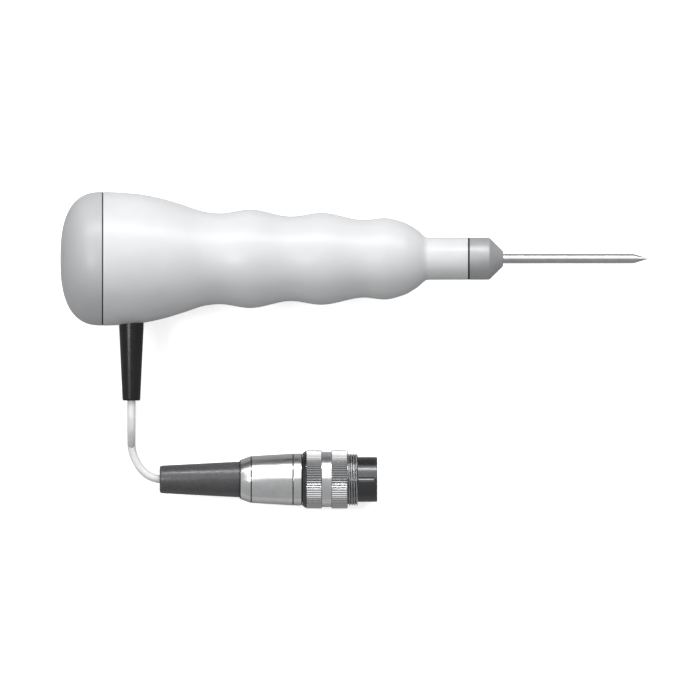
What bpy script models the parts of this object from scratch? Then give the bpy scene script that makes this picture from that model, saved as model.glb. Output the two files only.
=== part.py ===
"""Plug-in hand probe with a finger-grip handle, a thin steel shaft and a threaded round plug.

The probe lies on its side on a surface.  +X runs along the handle towards the point of the
shaft, +Z is up, and the origin is under the middle of the handle and shaft, on the surface.
Lengths along the handle are measured from the back of the end cap and moved by AT_BACK.
"""
import math

import bmesh
import bpy
from mathutils import Vector

MM = 0.001

# ---- Driving dimensions -------------------------------------------------------------------

TOTAL_LENGTH = 180.1 * MM          # back of the end cap to the point of the shaft
GRIP_RADIUS = 20.45 * MM           # fattest part, which rests on the surface
CAP_LENGTH = 12.9 * MM
NECK_END = 124.4 * MM
NECK_RADIUS = 6.45 * MM
FERRULE_END = 135.4 * MM
SHAFT_RADIUS = 1.5 * MM
SHAFT_POINT_LENGTH = 4.9 * MM
RELIEF_AT = 21.7 * MM              # the lead leaves the handle here, sideways
RELIEF_REACH = 43.4 * MM           # end of the strain relief, from the handle's axis
CORD_RADIUS = 1.25 * MM
PLUG_OFFSET = 67.5 * MM            # from the handle's axis to the plug's axis
KNURL_RADIUS = 8.9 * MM            # the plug rests on its coupling ring
THREAD_RADIUS = 8.0 * MM           # M16 x 0.75 coupling thread
SHELL_RADIUS = 6.875 * MM
PIN_CIRCLE = 3.5 * MM
PIN_COUNT = 5
WALL = 2.5 * MM
FIT = 0.3 * MM                     # gap between pieces that touch

# ---- Derived places -----------------------------------------------------------------------

AT_BACK = -TOTAL_LENGTH / 2
AXIS_Z = GRIP_RADIUS
PLUG_Z = KNURL_RADIUS
GRIP_START = CAP_LENGTH + FIT / 2
CAP_END = CAP_LENGTH - FIT / 2
SHAFT_TIP_START = TOTAL_LENGTH - SHAFT_POINT_LENGTH
NECK_BORE = 4.1 * MM
GRIP_SEGMENTS = 40
ROUND_SEGMENTS = 32
SMALL_SEGMENTS = 12

# The grip's outline: distance from the back, radius.  It swells at each finger rest.
GRIP_STATIONS = [
    (12.9 * MM, GRIP_RADIUS),
    (23.0 * MM, 19.9 * MM),
    (30.7 * MM, 18.5 * MM),
    (37.2 * MM, 16.6 * MM),
    (44.9 * MM, 14.25 * MM),
    (48.7 * MM, 13.9 * MM),
    (58.0 * MM, 15.1 * MM),
    (70.5 * MM, 12.95 * MM),
    (79.7 * MM, 14.1 * MM),
    (93.0 * MM, 11.9 * MM),
    (99.1 * MM, 12.5 * MM),
    (104.9 * MM, 11.2 * MM),
    (108.9 * MM, 9.0 * MM),
    (112.5 * MM, NECK_RADIUS),
]


# ---- Tools --------------------------------------------------------------------------------

def clear_scene():
    for obj in list(bpy.data.objects):
        bpy.data.objects.remove(obj, do_unlink=True)


def make_material(name, colour, roughness, metallic=0.0):
    material = bpy.data.materials.new(name)
    material.use_nodes = True
    shader = material.node_tree.nodes["Principled BSDF"]
    shader.inputs["Base Color"].default_value = (*colour, 1.0)
    shader.inputs["Roughness"].default_value = roughness
    shader.inputs["Metallic"].default_value = metallic
    material.diffuse_color = (*colour, 1.0)
    return material


def add_object(name, data, material):
    obj = bpy.data.objects.new(name, data)
    obj.data.materials.append(material)
    bpy.context.scene.collection.objects.link(obj)
    return obj


def finish_mesh(name, mesh_builder, material):
    bmesh.ops.recalc_face_normals(mesh_builder, faces=mesh_builder.faces)
    mesh = bpy.data.meshes.new(name)
    mesh_builder.to_mesh(mesh)
    mesh_builder.free()
    mesh.shade_smooth()
    mesh.set_sharp_from_angle(angle=math.radians(35))
    return add_object(name, mesh, material)


def ring_of_vertices(mesh_builder, along, radius, segments):
    """One ring round the local X axis, or the single point where the radius is nothing."""
    if radius == 0.0:
        return [mesh_builder.verts.new((along, 0.0, 0.0))]
    ring = []
    for step in range(segments):
        angle = 2 * math.pi * step / segments
        place = (along, radius * math.cos(angle), radius * math.sin(angle))
        ring.append(mesh_builder.verts.new(place))
    return ring


def join_rings(mesh_builder, first, second):
    count = max(len(first), len(second))
    for step in range(count):
        after = (step + 1) % count
        if len(first) == 1:
            corners = (first[0], second[step], second[after])
        elif len(second) == 1:
            corners = (first[after], first[step], second[0])
        else:
            corners = (first[after], first[step], second[step], second[after])
        mesh_builder.faces.new(corners)


def turned(name, outline, material, segments=ROUND_SEGMENTS):
    """A turned solid about the local X axis.

    The outline is (along, radius) pairs.  One that starts and ends at radius nothing is
    solid through, and any other is closed from its last pair back to its first.
    """
    builder = bmesh.new()
    rings = [ring_of_vertices(builder, along, radius, segments) for along, radius in outline]
    for first, second in zip(rings, rings[1:]):
        join_rings(builder, first, second)
    if outline[0][1] > 0.0:
        join_rings(builder, rings[-1], rings[0])
    return finish_mesh(name, builder, material)


def on_handle(obj):
    obj.location = (AT_BACK, 0.0, AXIS_Z)
    return obj


def on_plug(obj):
    obj.location = (AT_BACK, -PLUG_OFFSET, PLUG_Z)
    return obj


def block(name, low, high, material, bevel=0.3 * MM):
    """A box between two corners, with its origin at its middle and its edges softened."""
    builder = bmesh.new()
    bmesh.ops.create_cube(builder, size=1.0)
    size = Vector(high) - Vector(low)
    for vertex in builder.verts:
        vertex.co = Vector((vertex.co.x * size.x, vertex.co.y * size.y, vertex.co.z * size.z))
    obj = finish_mesh(name, builder, material)
    obj.location = (Vector(low) + Vector(high)) / 2
    if bevel > 0.0:
        softening = obj.modifiers.new("softened_edges", "BEVEL")
        softening.width = bevel
        softening.segments = 1
    return obj


def cut(obj, cutter):
    """Takes the cutter's shape out of the object."""
    cutter.hide_render = True
    cutter.display_type = "WIRE"
    modifier = obj.modifiers.new("cut_" + cutter.name, "BOOLEAN")
    modifier.operation = "DIFFERENCE"
    modifier.solver = "EXACT"
    modifier.object = cutter


def smooth_route(points, spacing):
    """Points read evenly from a smooth curve through the route's own points."""
    ends_added = [points[0] * 2 - points[1]] + points + [points[-1] * 2 - points[-2]]
    fine = []
    steps = 24
    for index in range(1, len(ends_added) - 2):
        before, start, end, after = ends_added[index - 1:index + 3]
        for step in range(steps):
            t = step / steps
            fine.append(0.5 * (2 * start + (end - before) * t
                               + (2 * before - 5 * start + 4 * end - after) * t ** 2
                               + (3 * start - before - 3 * end + after) * t ** 3))
    fine.append(points[-1])
    length = sum((b - a).length for a, b in zip(fine, fine[1:]))
    count = max(2, round(length / spacing))
    read = [fine[0]]
    travelled = 0.0
    for a, b in zip(fine, fine[1:]):
        travelled += (b - a).length
        if travelled >= length * len(read) / count and len(read) < count:
            read.append(b)
    read.append(fine[-1])
    return read


def tube(name, points, radius, material, roundness=2):
    """A round cord or wire through the points, with flat closed ends."""
    curve = bpy.data.curves.new(name, "CURVE")
    curve.dimensions = "3D"
    curve.bevel_depth = radius
    curve.bevel_resolution = roundness
    curve.use_fill_caps = True
    curve.resolution_u = 1
    curve.render_resolution_u = 0
    spline = curve.splines.new("POLY")
    spline.points.add(len(points) - 1)
    for spline_point, place in zip(spline.points, points):
        spline_point.co = (*place, 1.0)
    return add_object(name, curve, material)


def at(along, across, height):
    """A place given in millimetres from the back of the cap, the handle's axis and the floor."""
    return Vector((AT_BACK + along * MM, across * MM, height * MM))


def grip_profile(stations, step):
    """(along, radius) pairs on a smooth curve that turns only at the stations."""
    slopes = [0.0]
    for before, here, after in zip(stations, stations[1:], stations[2:]):
        fall_in = (here[1] - before[1]) / (here[0] - before[0])
        fall_out = (after[1] - here[1]) / (after[0] - here[0])
        if fall_in * fall_out <= 0.0:
            slopes.append(0.0)
        else:
            slopes.append(2 * fall_in * fall_out / (fall_in + fall_out))
    slopes.append(0.0)
    profile = []
    for index in range(len(stations) - 1):
        (x0, r0), (x1, r1) = stations[index], stations[index + 1]
        span = x1 - x0
        pieces = max(1, round(span / step))
        for piece in range(pieces):
            t = piece / pieces
            rise = 3 * t ** 2 - 2 * t ** 3
            lead = (t - 2 * t ** 2 + t ** 3) * span * slopes[index]
            trail = (t ** 3 - t ** 2) * span * slopes[index + 1]
            profile.append((x0 + span * t, r0 + (r1 - r0) * rise + lead + trail))
    profile.append(stations[-1])
    return profile


# ---- Handle -------------------------------------------------------------------------------

def handle_grip(material):
    outer = grip_profile(GRIP_STATIONS, step=3.2 * MM)
    outer[0] = (GRIP_START, GRIP_RADIUS)
    inner = [
        (NECK_END, NECK_BORE),
        (103.0 * MM, NECK_BORE),
        (103.0 * MM, 9.0 * MM),
        (93.0 * MM, 9.0 * MM),
        (70.0 * MM, 10.0 * MM),
        (48.0 * MM, 10.6 * MM),
        (37.2 * MM, 14.0 * MM),
        (30.7 * MM, 15.9 * MM),
        (23.0 * MM, 17.3 * MM),
        (GRIP_START, GRIP_RADIUS - WALL),
    ]
    outline = outer + [(NECK_END, NECK_RADIUS)] + inner
    grip = on_handle(turned("handle_grip", outline, material, GRIP_SEGMENTS))
    lead_hole = turned("lead_hole", [(12 * MM, 0.0), (12 * MM, 3.5 * MM),
                                     (24 * MM, 3.5 * MM), (24 * MM, 0.0)], material, 20)
    lead_hole.location = (AT_BACK + RELIEF_AT, 0.0, AXIS_Z)
    lead_hole.rotation_euler = (0.0, 0.0, -math.pi / 2)
    cut(grip, lead_hole)


def dome(length, radius, end, steps, power=2.45):
    """Quarter of a squarish round: (along, radius) pairs from the tip to the rim."""
    pairs = []
    for step in range(steps + 1):
        angle = math.pi / 2 * step / steps
        across = radius * math.sin(angle) ** (2 / power)
        along = end - length * max(0.0, math.cos(angle)) ** (2 / power)
        pairs.append((along, across if step else 0.0))
    return pairs


def end_cap(material):
    outer = dome(CAP_LENGTH, GRIP_RADIUS, CAP_LENGTH, steps=9)
    outer[-1] = (CAP_END, GRIP_RADIUS)
    inner = dome(CAP_LENGTH - WALL, 14.2 * MM, CAP_LENGTH, steps=5)
    rim = [
        (CAP_END, 16.4 * MM),
        (16.6 * MM, 16.4 * MM),
        (16.6 * MM, 14.2 * MM),
    ]
    on_handle(turned("end_cap", outer + rim + inner[::-1], material, GRIP_SEGMENTS))


def cap_o_ring(material):
    outline = [(14.0 * MM, 16.65 * MM), (14.0 * MM, 17.55 * MM),
               (15.0 * MM, 17.55 * MM), (15.0 * MM, 16.65 * MM)]
    on_handle(turned("cap_o_ring", outline, material, GRIP_SEGMENTS))


def neck_seal(material):
    outline = [(124.65 * MM, NECK_BORE), (124.65 * MM, NECK_RADIUS),
               (125.15 * MM, NECK_RADIUS), (125.15 * MM, NECK_BORE)]
    on_handle(turned("neck_seal", outline, material))


def ferrule(material):
    spigot = NECK_BORE - FIT
    outline = [
        (98.5 * MM, spigot),
        (125.4 * MM, spigot),
        (125.4 * MM, NECK_RADIUS),
        (131.2 * MM, NECK_RADIUS),
        (FERRULE_END, 2.3 * MM),
        (FERRULE_END, SHAFT_RADIUS + FIT),
        (124.0 * MM, SHAFT_RADIUS + FIT),
        (124.0 * MM, 2.9 * MM),
        (98.5 * MM, 2.9 * MM),
    ]
    on_handle(turned("ferrule", outline, material))


def ferrule_nut(material):
    hexagon = [(99.5 * MM, 0.0), (99.5 * MM, 6.35 * MM),
               (102.6 * MM, 6.35 * MM), (102.6 * MM, 0.0)]
    nut = on_handle(turned("ferrule_nut", hexagon, material, 6))
    bore = [(98 * MM, 0.0), (98 * MM, NECK_BORE), (104 * MM, NECK_BORE), (104 * MM, 0.0)]
    cut(nut, on_handle(turned("nut_bore", bore, material, 24)))


def probe_shaft(material):
    bore = 0.9 * MM
    outline = [
        (112.0 * MM, SHAFT_RADIUS),
        (SHAFT_TIP_START, SHAFT_RADIUS),
        (SHAFT_TIP_START, bore),
        (112.0 * MM, bore),
    ]
    on_handle(turned("probe_shaft", outline, material, 20))


def shaft_tip(material):
    outline = [
        (SHAFT_TIP_START - 1.2 * MM, 0.0),
        (SHAFT_TIP_START - 1.2 * MM, 0.6 * MM),
        (SHAFT_TIP_START + 0.15 * MM, 0.6 * MM),
        (SHAFT_TIP_START + 0.15 * MM, SHAFT_RADIUS),
        (TOTAL_LENGTH, 0.0),
    ]
    on_handle(turned("shaft_tip", outline, material, 20))


def shaft_bush(material):
    outline = [
        (112.5 * MM, SHAFT_RADIUS + FIT),
        (112.5 * MM, 2.6 * MM),
        (123.6 * MM, 2.6 * MM),
        (123.6 * MM, SHAFT_RADIUS + FIT),
    ]
    on_handle(turned("shaft_bush", outline, material, 20))


def sensor_bead(material):
    outline = [(171.2 * MM, 0.0), (171.4 * MM, 0.45 * MM), (172.6 * MM, 0.45 * MM),
               (172.9 * MM, 0.0)]
    on_handle(turned("sensor_bead", outline, material, SMALL_SEGMENTS))


def sensor_leads(material):
    """Two fine wires from the front terminal through the shaft to the bead."""
    for number, side in ((1, 1), (2, -1)):
        route = [
            at(70.6, 2.0 * side, 22.6),
            at(76.0, 1.6 * side, 22.4),
            at(84.0, 1.0 * side, 21.6),
            at(94.0, 0.6 * side, 20.8),
            at(104.0, 0.45 * side, 20.45),
            at(112.0, 0.4 * side, 20.45),
            at(171.0, 0.4 * side, 20.45),
        ]
        tube("sensor_lead_" + str(number), smooth_route(route, 6.0 * MM), 0.2 * MM, material, 1)


# ---- Inside the handle --------------------------------------------------------------------

BOARD_LOW = at(41.0, -6.8, 19.6)
BOARD_HIGH = at(71.0, 6.8, 21.2)
SCREW_PLACES = (50.5, 61.5)


def screw_holes(name, radius, low, high, material):
    """The two round holes, as one cutter."""
    builder = bmesh.new()
    for along in SCREW_PLACES:
        made = bmesh.ops.create_cone(builder, cap_ends=True, segments=SMALL_SEGMENTS,
                                     radius1=radius, radius2=radius, depth=high - low)
        middle = at(along, 0.0, 0.0) + Vector((0.0, 0.0, (low + high) / 2))
        bmesh.ops.translate(builder, verts=made["verts"], vec=middle)
    return finish_mesh(name, builder, material)


def board_carrier(material):
    carrier = block("board_carrier", at(40.0, -7.4, 15.8), at(72.0, 7.4, 19.2), material)
    cut(carrier, screw_holes("carrier_holes", 1.25 * MM, 16.6 * MM, 20 * MM, material))


def signal_board(material):
    board = block("signal_board", BOARD_LOW, BOARD_HIGH, material, bevel=0.0)
    cut(board, screw_holes("board_holes", 1.25 * MM, 18 * MM, 23 * MM, material))


def board_parts(dark, green):
    block("rear_terminal", at(42.0, -5.0, 21.5), at(47.5, 5.0, 25.0), green)
    block("front_terminal", at(65.0, -4.0, 21.5), at(70.2, 4.0, 25.0), green)
    block("board_chip", at(53.8, -2.5, 21.5), at(58.8, 2.5, 23.1), dark, bevel=0.2 * MM)


def carrier_screws(material):
    """Two pan-head screws that hold the board down on its carrier."""
    outline = [(16.9 * MM, 0.0), (16.9 * MM, 0.9 * MM), (21.5 * MM, 0.9 * MM),
               (21.5 * MM, 1.9 * MM), (22.7 * MM, 1.5 * MM), (22.7 * MM, 0.0)]
    for number, along in enumerate(SCREW_PLACES, start=1):
        screw = turned("carrier_screw_" + str(number), outline, material, SMALL_SEGMENTS)
        screw.location = at(along, 0.0, 0.0)
        screw.rotation_euler = (0.0, -math.pi / 2, 0.0)


def inner_cable(material):
    """The lead's last stretch, through the strain relief and up to the board."""
    route = [
        at(21.7, -43.1, 20.45),
        at(21.7, -30.0, 20.45),
        at(21.7, -16.0, 20.45),
        at(22.3, -9.0, 20.6),
        at(25.6, -3.4, 21.5),
        at(31.0, -0.6, 22.8),
        at(36.6, 0.0, 23.2),
    ]
    tube("inner_cable", smooth_route(route, 5.0 * MM), CORD_RADIUS, material)


def inner_cores(material):
    """Four cores fan out from the jacket's end to the rear terminal."""
    for number, side in enumerate((-1.5, -0.5, 0.5, 1.5), start=1):
        route = [at(36.9, 0.62 * side, 23.2), at(41.7, 2.1 * side, 23.2)]
        tube("inner_core_" + str(number), route, 0.3 * MM, material, 1)


def cable_tie(material):
    """A nylon tie tight round the lead, just inside the handle, so a pull can't reach the board."""
    outline = [(-1.2 * MM, 1.55 * MM), (-1.2 * MM, 2.6 * MM),
               (1.2 * MM, 2.6 * MM), (1.2 * MM, 1.55 * MM)]
    band = turned("cable_tie", outline, material, 20)
    band.location = at(21.85, -12.6, 20.5)
    band.rotation_euler = (0.0, 0.0, math.pi / 2)


def strain_relief(material):
    """Tapered rubber sleeve, held in the handle's wall by its flange and open for the lead."""
    bore = CORD_RADIUS + FIT
    outline = [
        (14.6 * MM, bore),
        (14.6 * MM, 4.3 * MM),
        (16.1 * MM, 4.3 * MM),
        (16.1 * MM, 3.2 * MM),
        (20.4 * MM, 3.2 * MM),
        (20.4 * MM, 3.775 * MM),
        (RELIEF_REACH - 0.3 * MM, 2.72 * MM),
        (RELIEF_REACH, 2.4 * MM),
        (RELIEF_REACH, bore),
    ]
    relief = turned("strain_relief", outline, material, 24)
    relief.location = (AT_BACK + RELIEF_AT, 0.0, AXIS_Z)
    relief.rotation_euler = (0.0, 0.0, -math.pi / 2)


# ---- Plug ---------------------------------------------------------------------------------

def plug_boot(material):
    bore = CORD_RADIUS + FIT
    outline = [
        (30.3 * MM, bore),
        (30.3 * MM, 3.4 * MM),
        (30.9 * MM, 4.2 * MM),
        (54.8 * MM, 5.5 * MM),
        (54.8 * MM, 4.4 * MM),
        (59.6 * MM, 4.4 * MM),
        (59.6 * MM, bore),
    ]
    on_plug(turned("plug_boot", outline, material, 24))


def clamp_collar(material):
    outline = [
        (55.1 * MM, 4.7 * MM),
        (55.1 * MM, 6.05 * MM),
        (58.2 * MM, 7.2 * MM),
        (58.2 * MM, 4.7 * MM),
    ]
    on_plug(turned("clamp_collar", outline, material))


def plug_backshell(material):
    outline = [
        (58.5 * MM, 4.7 * MM),
        (58.5 * MM, 7.2 * MM),
        (71.0 * MM, 7.93 * MM),
        (71.0 * MM, 7.2 * MM),
        (67.5 * MM, 7.2 * MM),
        (67.5 * MM, 6.3 * MM),
        (60.2 * MM, 6.3 * MM),
        (60.2 * MM, 4.7 * MM),
    ]
    on_plug(turned("plug_backshell", outline, material))


def lock_ring(material):
    outline = [(71.3 * MM, 7.2 * MM), (71.3 * MM, 7.97 * MM),
               (73.7 * MM, 7.97 * MM), (73.7 * MM, 7.2 * MM)]
    on_plug(turned("lock_ring", outline, material))


def coupling_ring(material):
    """Two grip bands, a smooth groove between them, and the coupling thread in front."""
    bore = SHELL_RADIUS + FIT
    outline = [
        (74.0 * MM, bore),
        (74.0 * MM, 8.0 * MM),
        (75.1 * MM, KNURL_RADIUS),
        (80.0 * MM, KNURL_RADIUS),
        (80.0 * MM, 8.45 * MM),
        (82.85 * MM, 8.45 * MM),
        (82.85 * MM, KNURL_RADIUS),
        (87.85 * MM, KNURL_RADIUS),
        (87.85 * MM, THREAD_RADIUS),
        (90.9 * MM, THREAD_RADIUS),
        (90.9 * MM, bore),
        (78.2 * MM, bore),
        (78.2 * MM, 8.0 * MM),
        (76.8 * MM, 8.0 * MM),
        (76.8 * MM, bore),
    ]
    on_plug(turned("coupling_ring", outline, material, GRIP_SEGMENTS))


def retaining_clip(material):
    outline = [(77.1 * MM, 7.15 * MM), (77.1 * MM, 7.7 * MM),
               (77.9 * MM, 7.7 * MM), (77.9 * MM, 7.15 * MM)]
    on_plug(turned("retaining_clip", outline, material))


def plug_shell(material):
    """The thin round shell round the pins, with the key slot along its top."""
    inner = SHELL_RADIUS - 0.8 * MM
    outline = [
        (67.8 * MM, inner),
        (67.8 * MM, SHELL_RADIUS),
        (96.6 * MM, SHELL_RADIUS),
        (96.9 * MM, SHELL_RADIUS - 0.2 * MM),
        (96.9 * MM, inner),
    ]
    shell = on_plug(turned("plug_shell", outline, material))
    top = PLUG_Z + SHELL_RADIUS
    key_low = Vector((AT_BACK + 91.1 * MM, -PLUG_OFFSET - 0.4 * MM, top - 0.45 * MM))
    key_high = Vector((AT_BACK + 95.9 * MM, -PLUG_OFFSET + 0.4 * MM, top + 0.5 * MM))
    cut(shell, block("key_slot", key_low, key_high, material, bevel=0.0))


def pin_places():
    """Across and up from the plug's axis: half a circle of pins, opposite the key slot."""
    places = []
    for number in range(PIN_COUNT):
        angle = math.pi + math.pi * number / (PIN_COUNT - 1)
        places.append((PIN_CIRCLE * math.cos(angle), PIN_CIRCLE * math.sin(angle)))
    return places


def rods(name, radius, low, high, material, segments=SMALL_SEGMENTS):
    """One round rod at each pin's place, as one object."""
    builder = bmesh.new()
    for across, up in pin_places():
        rings = []
        for along, size in ((low, 0.0), (low, radius), (high, radius), (high, 0.0)):
            ring = ring_of_vertices(builder, along, size, segments)
            for vertex in ring:
                vertex.co.y += across
                vertex.co.z += up
            rings.append(ring)
        for first, second in zip(rings, rings[1:]):
            join_rings(builder, first, second)
    return on_plug(finish_mesh(name, builder, material))


def pin_insert(material):
    outline = [(71.5 * MM, 0.0), (71.5 * MM, 5.75 * MM),
               (88.9 * MM, 5.75 * MM), (88.9 * MM, 0.0)]
    insert = on_plug(turned("pin_insert", outline, material))
    cut(insert, rods("pin_holes", 1.0 * MM, 70 * MM, 90 * MM, material))


def contact_pins(material):
    for number, (across, up) in enumerate(pin_places(), start=1):
        outline = [(69.0 * MM, 0.0), (69.0 * MM, 0.7 * MM), (95.2 * MM, 0.7 * MM),
                   (95.9 * MM, 0.35 * MM), (95.9 * MM, 0.0)]
        pin = on_plug(turned("contact_pin_" + str(number), outline, material, SMALL_SEGMENTS))
        pin.location.y += across
        pin.location.z += up


def cable_clamp(material):
    """The split ring inside the backshell that grips the lead."""
    outline = [(60.5 * MM, CORD_RADIUS + FIT), (60.5 * MM, 6.0 * MM),
               (63.5 * MM, 6.0 * MM), (63.5 * MM, CORD_RADIUS + FIT)]
    on_plug(turned("cable_clamp", outline, material, 24))


def plug_cable_tail(material):
    outline = [(30.6 * MM, 0.0), (30.6 * MM, CORD_RADIUS),
               (64.6 * MM, CORD_RADIUS), (64.6 * MM, 0.0)]
    on_plug(turned("plug_cable_tail", outline, material, SMALL_SEGMENTS))


def plug_cores(material):
    """The cores that fan out from the lead's end to the backs of the pins."""
    axis = Vector((AT_BACK, -PLUG_OFFSET, PLUG_Z))
    for number, (across, up) in enumerate(pin_places(), start=1):
        start = axis + Vector((64.9 * MM, 0.24 * across, 0.24 * up))
        end = axis + Vector((68.6 * MM, across, up))
        tube("plug_core_" + str(number), [start, end], 0.25 * MM, material, 1)


# ---- Lead ---------------------------------------------------------------------------------

HANK_LEFT = 58.15 * MM             # middle of the round end nearer the cap
HANK_RIGHT = 80.85 * MM            # middle of the other round end
HANK_COLUMNS = 3
HANK_FOLD = 7.5 * MM               # the innermost turn's radius
HANK_TOP = 5.65 * MM
TIE_AT = 70.5 * MM                 # in the grip's middle valley
TIE_PINCH = 1.75 * MM
TIE_REACH = 8.0 * MM
TIE_WIDTH = 4.0 * MM
TIE_INSIDE = 12.42 * MM            # half the gap between the strap's two sides
TIE_TOP = 5.95 * MM
TIE_STRAP = 0.3 * MM
TIE_CORNER = 0.6 * MM
CORD_STEP = 4.4 * MM


def pinch(along):
    """How far the tie draws the hank's sides in, at a distance from the cap's back."""
    away = min(1.0, abs(along - TIE_AT) / TIE_REACH)
    return TIE_PINCH * math.cos(math.pi / 2 * away) ** 2


def racetrack(half_width):
    """One closed outline round the hank: two round ends and two pinched sides."""
    places = []
    side_steps = 8
    end_steps = 12
    for step in range(side_steps):
        along = HANK_LEFT + (HANK_RIGHT - HANK_LEFT) * step / side_steps
        places.append((along, -half_width + pinch(along)))
    for step in range(end_steps):
        angle = -math.pi / 2 + math.pi * step / end_steps
        places.append((HANK_RIGHT + half_width * math.cos(angle), half_width * math.sin(angle)))
    for step in range(side_steps):
        along = HANK_RIGHT - (HANK_RIGHT - HANK_LEFT) * step / side_steps
        places.append((along, half_width - pinch(along)))
    for step in range(end_steps):
        angle = math.pi / 2 + math.pi * step / end_steps
        places.append((HANK_LEFT + half_width * math.cos(angle), half_width * math.sin(angle)))
    return places


def prism_ring(name, outer, inner, bottom, top, material):
    """The space between two outlines with equally many points, drawn up to a height."""
    builder = bmesh.new()
    loops = []
    for outline, height in ((outer, bottom), (outer, top), (inner, top), (inner, bottom)):
        loops.append([builder.verts.new((AT_BACK + x, y, height)) for x, y in outline])
    for first, second in zip(loops, loops[1:] + loops[:1]):
        join_rings(builder, first, second)
    return finish_mesh(name, builder, material)


def cord_hank(material):
    outer = HANK_FOLD + 2 * CORD_RADIUS * (HANK_COLUMNS - 1) + CORD_RADIUS
    hank = prism_ring("cord_hank", racetrack(outer), racetrack(HANK_FOLD - CORD_RADIUS),
                      0.0, HANK_TOP, material)
    reach = TIE_WIDTH / 2 + FIT
    low = Vector((AT_BACK + TIE_AT - reach, -20 * MM, -1 * MM))
    high = Vector((AT_BACK + TIE_AT + reach, 20 * MM, 0.65 * MM))
    cut(hank, block("tie_passage", low, high, material, bevel=0.0))


def rounded_rectangle(half_width, bottom, top, corner):
    """(y, z) points round a rectangle with rounded corners, three steps to a corner."""
    side = half_width - corner
    places = []
    for quarter, (centre_y, centre_z) in enumerate(((side, top - corner), (-side, top - corner),
                                                    (-side, bottom + corner),
                                                    (side, bottom + corner))):
        for step in range(4):
            angle = math.pi / 2 * (quarter + step / 3)
            places.append((centre_y + corner * math.cos(angle),
                           centre_z + corner * math.sin(angle)))
    return places


def hank_tie(material):
    """A soft flat strap round the whole hank."""
    inner = rounded_rectangle(TIE_INSIDE, TIE_STRAP, TIE_TOP, TIE_CORNER)
    outer = rounded_rectangle(TIE_INSIDE + TIE_STRAP, 0.0, TIE_TOP + TIE_STRAP, TIE_CORNER)
    back = AT_BACK + TIE_AT - TIE_WIDTH / 2
    front = AT_BACK + TIE_AT + TIE_WIDTH / 2
    builder = bmesh.new()
    loops = []
    for outline, x in ((inner, back), (inner, front), (outer, front), (outer, back)):
        loops.append([builder.verts.new((x, y, z)) for y, z in outline])
    for first, second in zip(loops, loops[1:] + loops[:1]):
        join_rings(builder, first, second)
    finish_mesh("hank_tie", builder, material)


# From the strain relief the lead bends over and back under it, then runs beneath the grip.
RELIEF_RUN = [
    at(21.7, -43.7, 20.45),
    at(21.7, -46.6, 20.45),
    at(21.7, -49.6, 20.2),
    at(21.7, -54.0, 18.0),
    at(21.7, -56.6, 12.8),
    at(21.7, -54.4, 7.2),
    at(21.7, -49.6, 4.5),
    at(21.7, -44.0, 3.95),
    at(21.7, -36.0, 3.9),
    at(21.7, -28.0, 3.9),
    at(22.2, -21.5, 3.85),
    at(23.6, -17.4, 3.7),
    at(25.9, -14.6, 3.25),
    at(29.0, -11.5, 2.1),
    at(33.0, -7.5, 1.35),
    at(37.0, -3.5, 1.4),
    at(40.0, -0.5, 2.25),
    at(42.7, 2.2, 3.45),
]

# From the hank the lead runs along the surface under the strain relief, and round to the plug.
PLUG_RUN = [
    at(49.2, -12.5, 1.25),
    at(44.0, -12.75, 1.25),
    at(38.0, -13.6, 1.25),
    at(32.0, -14.6, 1.25),
    at(27.6, -15.9, 1.25),
    at(24.4, -18.4, 1.25),
    at(22.3, -22.4, 1.25),
    at(21.7, -28.0, 1.25),
    at(21.7, -36.0, 1.25),
    at(21.7, -44.0, 1.25),
    at(21.7, -50.0, 1.35),
    at(21.7, -54.6, 2.5),
    at(21.9, -58.4, 4.5),
    at(23.2, -62.0, 6.4),
    at(25.5, -65.2, 8.0),
    at(28.2, -66.9, 8.8),
    at(30.0, -67.45, 8.9),
]


def lead(material):
    tube("cord_relief_run", smooth_route(RELIEF_RUN, CORD_STEP), CORD_RADIUS, material)
    tube("cord_plug_run", smooth_route(PLUG_RUN, CORD_STEP), CORD_RADIUS, material)
    cord_hank(material)


# ---- The probe ----------------------------------------------------------------------------

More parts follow.
